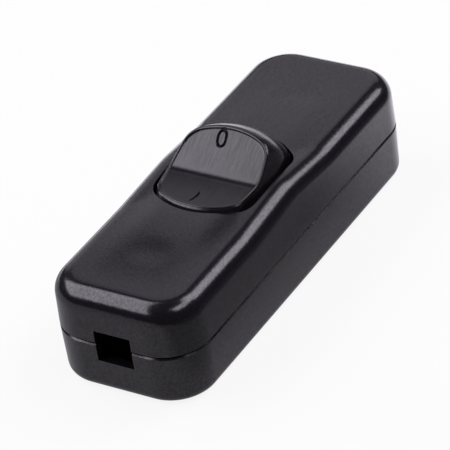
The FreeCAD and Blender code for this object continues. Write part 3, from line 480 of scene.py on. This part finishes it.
# screw bosses under the top, and beside the opening two bearing cheeks a side, with the trunnion's slot between
bosses = {"offset": 25.8, "radius": 3.1, "bore": 1.2, "boreDepth": 8.5, "bottom": 8.0, "top": 18.6, "segments": 40}
cheeks = {"slotHalf": 1.5, "halfLength": 4.2, "inner": 10.65, "outer": 13.2, "low": 10.2,
          "topInner": 18.4, "topOuter": 17.0}
bm = bmesh.new()
bm.from_mesh(upperShell.data)
for side in (-1, 1):
    hollowPost(bm, side * bosses["offset"], bosses)
    for end in (-1, 1):
        cheek = bmesh.ops.create_cube(bm, size=1.0)["verts"]
        x0, x1 = sorted(opening["centre"] + end * cheeks[name] for name in ("slotHalf", "halfLength"))
        for v in cheek:
            outer = v.co.y * side > 0
            top = cheeks["topOuter"] if outer else cheeks["topInner"]
            v.co = Vector((x1 if v.co.x > 0 else x0, side * (cheeks["outer"] if outer else cheeks["inner"]),
                           top if v.co.z > 0 else cheeks["low"])) * mm
bm.to_mesh(upperShell.data)
bm.free()
smoothMesh(upperShell.data)
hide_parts("upper_shell")
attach(upperShell, "housing")


# rocker, made level about its pivot and then tilted to its rest
rocker = {
    "pivot": (-0.9, 0.0, 13.0), "tilt": 18.0, "points": 224,
    "rimHalfLength": 9.09, "rimHalfWidth": 9.13, "endBow": 12.5, "sideBow": 45.0, "corner": 5.0, "nearShort": 0.3,
    "skirtHalfWidth": 10.0, "flare": 0.28, "skirtBottom": 2.0, "skirtSteps": 16, "rimSupport": 0.985, "wall": 1.4,
    "faceDepth": 9.5, "wing": 14.0, "valley": 6.0, "wingSag": 0.09, "recess": 0.22, "faceSteps": 40,
    "rimWidth": 0.52, "rimRound": 0.24,
    "rimSteps": ((0.01, 0.17), (0.035, 0.12), (0.07, 0.07), (0.12, 0.035), (0.18, 0.008), (0.24, 0.0), (0.3, 0.0),
                 (0.37, 0.03), (0.42, 0.08), (0.45, 0.14), (0.48, 0.2), (0.51, 0.22)),      # inward, down
    "ceiling": 7.2, "ceilingRise": 0.35, "ceilingSteps": 8,
}


def faceHeight(x):
    # two straight wings with a slight sag, joined by a round valley
    wing = math.radians(rocker["wing"])
    knee = rocker["valley"] * math.sin(wing)
    if abs(x) <= knee:
        return rocker["faceDepth"] + rocker["valley"] - math.sqrt(rocker["valley"] ** 2 - x ** 2)
    half = (rocker["rimHalfLength"] - knee) / 2
    sag = rocker["wingSag"] * max(0.0, 1 - ((abs(x) - knee - half) / half) ** 2)
    return rocker["faceDepth"] + rocker["valley"] * (1 - math.cos(wing)) + (abs(x) - knee) * math.tan(wing) - sag


endRadius = math.hypot(rocker["rimHalfLength"], faceHeight(rocker["rimHalfLength"]))


def skirtPoint(share, z, inset):
    # the ends follow a cylinder about the pivot, the near one a little shorter; the sides flare downwards
    flared = rocker["rimHalfWidth"] + rocker["flare"] * (rocker["faceDepth"] - z)
    half = min(flared, rocker["skirtHalfWidth"]) - inset
    length = math.sqrt((endRadius - inset) ** 2 - z ** 2)
    angle = 2 * math.pi * share
    length -= rocker["nearShort"] if math.cos(angle) < 0 else 0
    reach = bowedReach(angle, length, half,
                       rocker["endBow"] - inset, rocker["sideBow"] - inset, rocker["corner"] - inset)
    return reach * math.cos(angle), reach * math.sin(angle), z


def rimTop(share, inset):
    # where the skirt, drawn in by inset, meets the face; twelve rounds settle it
    z = rocker["faceDepth"]
    for step in range(12):
        x, y, z = skirtPoint(share, z, inset)
        z = faceHeight(x)
    return x, y, z


def skirtLevel(share, t):
    x, y, z = rimTop(share, 0)
    return skirtPoint(share, rocker["skirtBottom"] + (z - rocker["rimRound"] - rocker["skirtBottom"]) * t, 0)


def rimStep(share, inset, drop):
    x, y, z = rimTop(share, inset)
    return x, y, z - drop


def faceStep(share, t):
    x, y, z = rimTop(share, rocker["rimWidth"])
    return x * (1 - t), y * (1 - t), faceHeight(x * (1 - t)) - rocker["recess"]


def ceilingStep(share, t):
    # roof of the hollow, a little higher at its middle
    x, y, z = skirtPoint(share, rocker["ceiling"], rocker["wall"])
    return x * (1 - t), y * (1 - t), z + rocker["ceilingRise"] * t


bm = bmesh.new()
ring = firstRing = startRing(bm, rocker["points"], lambda s: skirtPoint(s, rocker["skirtBottom"], 0))
# the last levels lie close together, so that the skirt's shading doesn't spill over the rim
for t in [step / rocker["skirtSteps"] for step in range(1, rocker["skirtSteps"])] + [rocker["rimSupport"], 1.0]:
    ring = nextRing(bm, ring, lambda s: skirtLevel(s, t))
for inset, drop in rocker["rimSteps"]:
    ring = nextRing(bm, ring, lambda s: rimStep(s, inset, drop))
for step in range(1, rocker["faceSteps"]):
    ring = nextRing(bm, ring, lambda s: faceStep(s, step / rocker["faceSteps"]))
closeRing(bm, ring, (0, 0, faceHeight(0) - rocker["recess"]))
ring = nextRing(bm, firstRing, lambda s: skirtPoint(s, rocker["skirtBottom"], rocker["wall"]))
for step in range(rocker["ceilingSteps"]):
    ring = nextRing(bm, ring, lambda s: ceilingStep(s, step / rocker["ceilingSteps"]))
closeRing(bm, ring, (0, 0, rocker["ceiling"] + rocker["ceilingRise"]))
rockerPiece = finishMesh(bm, "rockerButton", rockerPlastic)
print("rocker raised", len(rockerPiece.data.polygons))

# 0 and I, cut into the face as V grooves; the cutters stand proud of it
marks = {
    "depth": 0.35, "stroke": 0.6, "proud": 0.3, "lean": 11.0, "squareness": 0.8, "points": 64,
    "zeroCentre": (6.74, 1.38), "zeroLength": 3.56, "zeroWidth": 2.2,
    "barCentre": (-6.2, 0.53), "barLength": 2.6, "barBow": 0.35, "barTaper": 0.3, "barFoot": 0.04, "barSpread": 0.8,
}


def ovalPoint(share, length, width, centre, lean, depth, bow=0.0):
    # squarish oval, leaning and bowed, at a depth below the face
    angle = 2 * math.pi * share
    c, s = math.cos(angle), math.sin(angle)
    a = length / 2 * math.copysign(abs(c) ** marks["squareness"], c)
    b = width / 2 * math.copysign(abs(s) ** marks["squareness"], s) - bow * (1 - c * c)
    t = math.radians(lean)
    x, y = centre[0] + a * math.cos(t) - b * math.sin(t), centre[1] + a * math.sin(t) + b * math.cos(t)
    return x, y, faceHeight(x) - rocker["recess"] - depth


def markTool(rings):
    bm = bmesh.new()
    first = ring = startRing(bm, marks["points"], rings[0])
    for place in rings[1:]:
        ring = nextRing(bm, ring, place)
    return bm, first, ring


def widened(oval, by):
    return (oval[0] + by, oval[1] + by, *oval[2:])


deep, proud, bow = marks["depth"], marks["proud"], marks["barBow"]
wide = marks["stroke"] * (1 + proud / deep)
zero = (marks["zeroLength"] - marks["stroke"], marks["zeroWidth"] - marks["stroke"],
        marks["zeroCentre"], marks["lean"])
bm, first, last = markTool([lambda s: ovalPoint(s, *widened(zero, wide), -proud),
                            lambda s: ovalPoint(s, *zero, deep),
                            lambda s: ovalPoint(s, *widened(zero, -wide), -proud)])
bmesh.ops.bridge_loops(bm, edges=first + last)
carve(rockerPiece, finishMesh(bm, "zeroTool", rockerPlastic))
bar = (marks["barLength"] - marks["barTaper"], marks["barFoot"], marks["barCentre"], -marks["lean"])
bm, first, last = markTool([lambda s: ovalPoint(s, *widened(bar, wide * marks["barSpread"]), -proud, bow),
                            lambda s: ovalPoint(s, *bar, deep, bow)])
bmesh.ops.edgeloop_fill(bm, edges=first)
bmesh.ops.edgeloop_fill(bm, edges=last)
carve(rockerPiece, finishMesh(bm, "barTool", rockerPlastic))

# under the face: the spring's tube, and on each side an ear with its trunnion on a web
stem = {"radius": 3.0, "bore": 1.75, "boreDepth": 8.4, "bottom": -1.0, "top": 7.6, "segments": 48}
axle = {
    "ear": (2.9, 8.65, 9.95), "trunnion": (1.7, 9.9, 12.1), "segments": 40,      # radius, inner end, outer end
    "webTop": (4.6, 3.5), "webFoot": (2.4, 0.5),      # half length, height
}
bm = bmesh.new()
bm.from_mesh(rockerPiece.data)
hollowPost(bm, 0, stem)
sideways = Matrix.Rotation(math.radians(90), 3, "X")
for side in (-1, 1):
    for radius, inner, outer in (axle["ear"], axle["trunnion"]):
        pin = bmesh.ops.create_cone(bm, cap_ends=True, segments=axle["segments"], radius1=radius * mm,
                                    radius2=radius * mm, depth=(outer - inner) * mm)["verts"]
        bmesh.ops.rotate(bm, verts=pin, cent=(0, 0, 0), matrix=sideways)
        bmesh.ops.translate(bm, verts=pin, vec=Vector((0, side * (inner + outer) / 2 * mm, 0)))
    web = bmesh.ops.create_cube(bm, size=1.0)["verts"]
    for v in web:
        reach, height = axle["webTop"] if v.co.z > 0 else axle["webFoot"]
        v.co = Vector((math.copysign(reach, v.co.x), side * axle["ear"][2 if v.co.y > 0 else 1], height)) * mm
    if side < 0:
        bmesh.ops.reverse_faces(bm, faces=list({f for v in web for f in v.link_faces}))
tilt = Matrix.Translation(Vector(rocker["pivot"]) * mm) @ Matrix.Rotation(math.radians(-rocker["tilt"]), 4, "Y")
bmesh.ops.transform(bm, verts=bm.verts, matrix=tilt)
bm.to_mesh(rockerPiece.data)
bm.free()
smoothMesh(rockerPiece.data)
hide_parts("rocker")
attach(rockerPiece, "rocker")
print("rocker finished")


# pale floor, white to the camera; what the plastic reflects of it is painted light and shade: it brightens towards
# the far end (+X) and on the left (+Y), and fades out on the right (-Y), in place of the object's shadow on the
# floor; edges in metres
floorLook = {
    "halfSide": 1.5, "drop": 0.05, "paint": "#e6e6e6", "glowShare": 0.88,
    "farEdge": (0.018, 0.065), "farPaintedGlow": (0.2, 1.4),
    "leftEdge": (-0.027, -0.015), "leftPaintedGlow": 0.28,
    "rightEdge": (-0.055, -0.035),
}
studio = {"tint": (1.0, 0.965, 1.06), "surroundings": (0.06, 0.057, 0.064, 1), "backdrop": (1, 1, 1, 1)}
bm = bmesh.new()
bmesh.ops.create_grid(bm, x_segments=1, y_segments=1, size=floorLook["halfSide"])
floorMesh = bpy.data.meshes.new("floor")
bm.to_mesh(floorMesh)
bm.free()
floor = addObject("floor", floorMesh)
floor.location.z = -floorLook["drop"] * mm
floorPaint, tree = newMaterial("paleFloor")
place = addNode(tree, "ShaderNodeTexCoord")
spot = addNode(tree, "ShaderNodeSeparateXYZ", links={"Vector": place.outputs["Object"]})
soft = {"interpolation_type": "SMOOTHSTEP"}
# painted light and shade on the floor, seen only in reflections: a painted pool of light towards the far end and on
# the left, and painted shade on the right
farPaintedLight = addNode(tree, "ShaderNodeMapRange", settings=soft,
                  values={"From Min": floorLook["farEdge"][0], "From Max": floorLook["farEdge"][1],
                          "To Min": floorLook["farPaintedGlow"][0], "To Max": floorLook["farPaintedGlow"][1]},
                  links={"Value": spot.outputs["X"]})
leftPaintedLight = addNode(tree, "ShaderNodeMapRange", settings=soft,
                   values={"From Min": floorLook["leftEdge"][0], "From Max": floorLook["leftEdge"][1],
                           "To Max": floorLook["leftPaintedGlow"]},
                   links={"Value": spot.outputs["Y"]})
rightPaintedShade = addNode(tree, "ShaderNodeMapRange", settings=soft,
                  values={"From Min": floorLook["rightEdge"][0], "From Max": floorLook["rightEdge"][1]},
                  links={"Value": spot.outputs["Y"]})
paintedLightSum = addNode(tree, "ShaderNodeMath", settings={"operation": "ADD"},
                    links={0: farPaintedLight.outputs["Result"], 1: leftPaintedLight.outputs["Result"]})
paintedFloorLight = addNode(tree, "ShaderNodeMath", settings={"operation": "MULTIPLY"},
                links={0: paintedLightSum.outputs[0], 1: rightPaintedShade.outputs["Result"]})
path = addNode(tree, "ShaderNodeLightPath")
direct = addNode(tree, "ShaderNodeMath", settings={"operation": "MAXIMUM"},
                 links={0: path.outputs["Is Camera Ray"], 1: path.outputs["Is Glossy Ray"]})
seen = addNode(tree, "ShaderNodeMath", settings={"operation": "MAXIMUM"},
               links={0: direct.outputs[0], 1: path.outputs["Is Transmission Ray"]})
# camera rays see the even white backdrop; glossy and transmission rays see the painted light and shade
tinted = addNode(tree, "ShaderNodeVectorMath", settings={"operation": "SCALE"}, values={0: studio["tint"]},
                 links={"Scale": paintedFloorLight.outputs[0]})
level = addNode(tree, "ShaderNodeMix", settings={"data_type": "RGBA"}, values={7: studio["backdrop"]},
                links={0: path.outputs["Is Camera Ray"], 6: tinted.outputs[0]})
glow = addNode(tree, "ShaderNodeEmission", links={"Color": level.outputs[2]})
pale = addNode(tree, "ShaderNodeBsdfDiffuse", values={"Color": linear(floorLook["paint"])})
paleSeen = addNode(tree, "ShaderNodeMixShader", values={0: floorLook["glowShare"]},
                   links={1: pale.outputs["BSDF"], 2: glow.outputs["Emission"]})
fromAbove = addNode(tree, "ShaderNodeMixShader",
                    links={0: seen.outputs[0], 1: pale.outputs["BSDF"], 2: paleSeen.outputs["Shader"]})
# from beneath, the floor is clear, so that the underside can be seen
clear = addNode(tree, "ShaderNodeBsdfTransparent")
floorSide = addNode(tree, "ShaderNodeNewGeometry")
whole = addNode(tree, "ShaderNodeMixShader",
                links={0: floorSide.outputs["Backfacing"], 1: fromAbove.outputs["Shader"],
                       2: clear.outputs["BSDF"]})
addNode(tree, "ShaderNodeOutputMaterial", links={"Surface": whole.outputs["Shader"]})
floorMesh.materials.append(floorPaint)
print("floor laid")

# dim surroundings, white to the camera
world = bpy.data.worlds.new("studio")
bpy.context.scene.world = world
world.use_nodes = True
path = addNode(world.node_tree, "ShaderNodeLightPath")
sky = addNode(world.node_tree, "ShaderNodeMix", settings={"data_type": "RGBA"},
              values={6: studio["surroundings"], 7: studio["backdrop"]}, links={0: path.outputs["Is Camera Ray"]})
world.node_tree.links.new(sky.outputs[2], world.node_tree.nodes["Background"].inputs["Color"])

# studio panels, in metres and degrees: level ones overhead, with their reach on axes turned about Z, and ones
# square to a direction, with their edges as tangents either side of it
levelPanels = {
    "leftLight": {"along": (-0.375, 0.09), "across": (0.118, 0.49), "turn": 0, "radiance": 3.6},
    "rightLight": {"along": (0.1, 0.58), "across": (-0.14, 0.045), "turn": -25.6, "radiance": 4.4},
    "nearLight": {"along": (-0.11, 0.09), "across": (-0.235, -0.12), "turn": 0, "radiance": 4.4},
}
facingPanels = {
    "farPanel": {"sides": (-0.24, 0.5), "heights": (-0.3, 0.2)},
    "sidePanel": {"sides": (-0.3, 0.1), "heights": (0.2, 0.6)},
}
panels = {"distance": 0.3, "facing": (0.69, 0.47, 0.55), "across": (1, 0, 0), "radiance": 0.63}


def addPanel(name, width, depth, radiance, place):
    data = bpy.data.lights.new(name, "AREA")
    data.shape = "RECTANGLE"
    data.size, data.size_y = width, depth
    data.energy = radiance * math.pi * data.size * data.size_y
    data.color = studio["tint"]
    addObject(name, data).matrix_world = place


for name, panel in levelPanels.items():
    (x0, x1), (y0, y1) = panel["along"], panel["across"]
    turned = Matrix.Rotation(math.radians(panel["turn"]), 4, "Z")
    middle = Matrix.Translation(((x0 + x1) / 2, (y0 + y1) / 2, panels["distance"]))
    addPanel(name, x1 - x0, y1 - y0, panel["radiance"], turned @ middle)
facing = Vector(panels["facing"]).normalized()
across = (Vector(panels["across"]) - facing * facing.dot(Vector(panels["across"]))).normalized()
upward = facing.cross(across)
axes = Matrix((across, upward, facing)).transposed().to_4x4()
for name, panel in facingPanels.items():
    (u0, u1), (v0, v1), distance = panel["sides"], panel["heights"], panels["distance"]
    centre = (facing + across * (u0 + u1) / 2 + upward * (v0 + v1) / 2) * distance
    middle = Matrix.Translation(centre)
    addPanel(name, (u1 - u0) * distance, (v1 - v0) * distance, panels["radiance"], middle @ axes)
bpy.context.scene.view_settings.view_transform = "Standard"
print("lights set")
